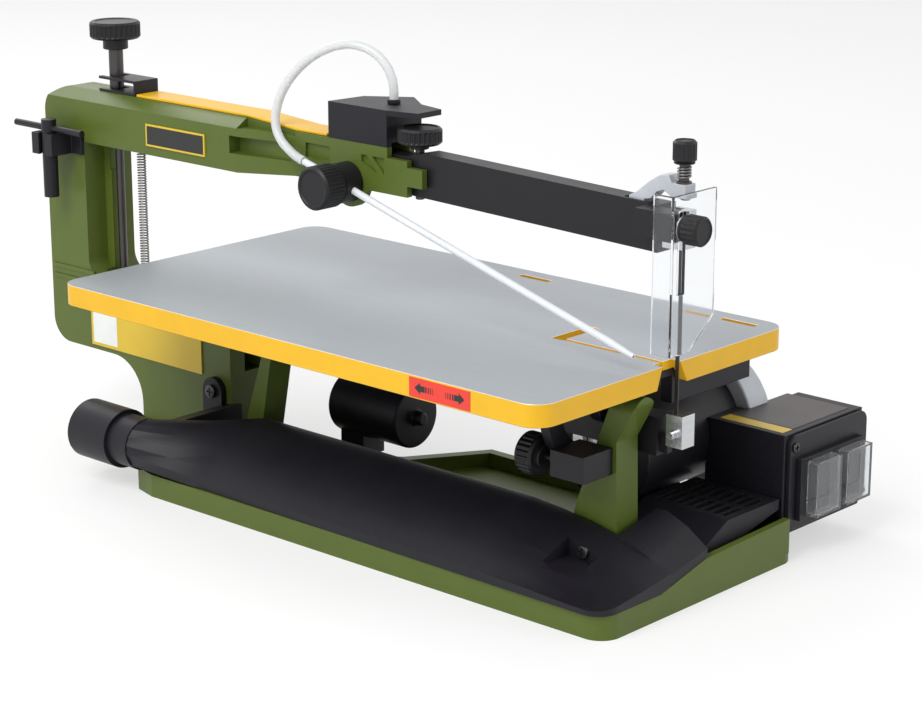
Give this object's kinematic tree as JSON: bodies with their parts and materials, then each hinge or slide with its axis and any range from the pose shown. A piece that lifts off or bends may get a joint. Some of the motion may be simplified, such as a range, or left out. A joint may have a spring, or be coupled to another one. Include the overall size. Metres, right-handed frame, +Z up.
{
  "type": "bench-top fret saw",
  "caption": "Powered bench-top fret saw with C-shaped frame, coupled arms, tilting table, blade guard, air nozzle, dust outlet and switch box",
  "frame": {"origin": "on the base's underside, straight below the middle of the table's front edge", "axes": "X to the user's right, Y from the blade end to the column, Z up"},
  "size_m": [0.2445, 0.5111, 0.2561],
  "materials": {
    "green_paint": "satin",
    "yellow_paint": "satin",
    "table_metal": "brushed",
    "black_plastic": "fine grain",
    "black_paint": "satin",
    "steel": "bright",
    "pale_cast": "as cast",
    "clear_plastic": "clear",
    "hose_plastic": "milky",
    "badge_foil": "smooth"
  },
  "bodies": {
    "base_frame": {"base": "green_paint", "c_frame": "green_paint", "frame_top_cover": "yellow_paint", "arm_badge": "badge_foil", "frame_label": "badge_foil", "upper_pivot_pin": "steel", "lower_pivot_pin": "steel", "tension_clip": "black_paint", "bellows_box": "black_plastic", "hose_barb": "black_plastic", "air_hose": "hose_plastic", "table_pivot_bolts": "steel", "lock_bracket": "black_paint", "dust_housing": "black_plastic", "dust_grille": "black_plastic", "housing_screws": "steel", "switch_box": "black_plastic", "switch_plate": "black_plastic", "plate_screws": "steel", "switch_bezel": "black_plastic", "switch_covers": "clear_plastic", "motor_housing": "black_paint", "motor_end_bell": "pale_cast", "motor_bracket": "black_paint", "capacitor": "black_plastic", "capacitor_bracket": "steel", "tool_clip": "black_plastic"},
    "upper_arm": {"upper_arm": "black_paint", "lever_pin": "steel"},
    "lower_arm": {"lower_arm": "black_paint", "wrist_pin": "steel"},
    "blade_set": {"blade": "steel", "upper_clamp": "steel", "lower_clamp": "steel"},
    "tail_link": {"tension_rod": "steel"},
    "return_spring": {"return_spring": "steel"},
    "tension_knob": {"tension_knob": "black_plastic"},
    "air_knob": {"air_knob": "black_plastic"},
    "guard": {"guard": "clear_plastic"},
    "guard_knob": {"guard_knob": "black_plastic", "guard_washer": "steel"},
    "blade_lever": {"blade_lever": "pale_cast", "lever_washer": "steel", "lever_spring": "steel"},
    "blade_knob": {"blade_knob": "black_plastic"},
    "nozzle": {"nozzle_pipe": "steel", "nozzle_hub": "black_plastic"},
    "nozzle_knob": {"nozzle_knob": "black_plastic"},
    "table": {"table": "table_metal", "front_trunnion": "black_paint", "rear_trunnion": "black_paint"},
    "tilt_lock": {"tilt_lock_knob": "black_plastic"},
    "power_rocker": {"power_rocker": "black_plastic"},
    "speed_rocker": {"speed_rocker": "black_plastic"},
    "crank": {"crank": "steel"},
    "connecting_rod": {"connecting_rod": "steel"},
    "tool_key": {"tool_key": "black_paint"}
  },
  "joints": [
    {"name": "upper_rock", "type": "hinge", "parent": "base_frame", "child": "upper_arm", "pos_m": [0, 0.346, 0.19], "axis": [1, 0, 0], "range_deg": [-1.45, 1.45]},
    {"name": "lower_rock", "type": "hinge", "parent": "base_frame", "child": "lower_arm", "pos_m": [0, 0.346, 0.081], "axis": [1, 0, 0], "range_deg": [-1.45, 1.45]},
    {"name": "blade_swing", "type": "hinge", "parent": "upper_arm", "child": "blade_set", "pos_m": [0, -0.0004, 0.188], "axis": [1, 0, 0], "range_deg": [-1.45, 1.45]},
    {"name": "tail_swing", "type": "hinge", "parent": "upper_arm", "child": "tail_link", "pos_m": [0, 0.419, 0.19], "axis": [1, 0, 0], "range_deg": [-1.45, 1.45]},
    {"name": "spring_swing", "type": "hinge", "parent": "upper_arm", "child": "return_spring", "pos_m": [0, 0.399, 0.182], "axis": [1, 0, 0], "range_deg": [-1.45, 1.45]},
    {"name": "tension_turn", "type": "hinge", "parent": "tail_link", "child": "tension_knob", "pos_m": [0, 0.419, 0.24], "axis": [0, 0, 1], "continuous": true},
    {"name": "air_turn", "type": "hinge", "parent": "upper_arm", "child": "air_knob", "pos_m": [0, 0.1704, 0.21], "axis": [0, 0, 1], "continuous": true},
    {"name": "guard_slide", "type": "slide", "parent": "upper_arm", "child": "guard", "axis": [0, 0, 1], "range_m": [-0.005, 0.03]},
    {"name": "guard_turn", "type": "hinge", "parent": "upper_arm", "child": "guard_knob", "pos_m": [-0.0115, -0.021, 0.191], "axis": [0, -1, 0], "continuous": true},
    {"name": "lever_lift", "type": "hinge", "parent": "upper_arm", "child": "blade_lever", "pos_m": [0, 0.02, 0.194], "axis": [-1, 0, 0], "range_deg": [0, 15]},
    {"name": "blade_turn", "type": "hinge", "parent": "blade_lever", "child": "blade_knob", "pos_m": [0, -0.0054, 0.225], "axis": [0, 0, 1], "continuous": true},
    {"name": "nozzle_swing", "type": "hinge", "parent": "base_frame", "child": "nozzle", "pos_m": [-0.017, 0.2135, 0.182], "axis": [-1, 0, 0], "range_deg": [0, 35]},
    {"name": "nozzle_turn", "type": "hinge", "parent": "nozzle", "child": "nozzle_knob", "pos_m": [-0.03, 0.2135, 0.182], "axis": [-1, 0, 0], "continuous": true},
    {"name": "table_tilt", "type": "hinge", "parent": "base_frame", "child": "table", "pos_m": [-0.0185, 0, 0.096], "axis": [0, -1, 0], "range_deg": [-5, 45]},
    {"name": "tilt_lock_turn", "type": "hinge", "parent": "base_frame", "child": "tilt_lock", "pos_m": [-0.0435, 0.049, 0.071], "axis": [0, 1, 0], "continuous": true},
    {"name": "power_rock", "type": "hinge", "parent": "base_frame", "child": "power_rocker", "pos_m": [0.0965, -0.0145, 0.0375], "axis": [1, 0, 0], "range_deg": [-10, 10]},
    {"name": "speed_rock", "type": "hinge", "parent": "base_frame", "child": "speed_rocker", "pos_m": [0.1245, -0.0145, 0.0375], "axis": [1, 0, 0], "range_deg": [-10, 10]},
    {"name": "crank_turn", "type": "hinge", "parent": "base_frame", "child": "crank", "pos_m": [0.015, 0.058, 0.056], "axis": [1, 0, 0], "continuous": true},
    {"name": "rod_turn", "type": "hinge", "parent": "crank", "child": "connecting_rod", "pos_m": [0.009, 0.0653, 0.056], "axis": [1, 0, 0], "continuous": true},
    {"name": "key_slide", "type": "slide", "parent": "base_frame", "child": "tool_key", "axis": [0, 0, 1], "range_m": [0, 0.06]}
  ],
  "couplings": [
    {"joint": "lower_rock", "follows": "upper_rock", "ratio": 1},
    {"joint": "blade_swing", "follows": "upper_rock", "ratio": -1},
    {"joint": "tail_swing", "follows": "upper_rock", "ratio": -1},
    {"joint": "spring_swing", "follows": "upper_rock", "ratio": -1},
    {"joint": "rod_turn", "follows": "crank_turn", "ratio": -1}
  ]
}
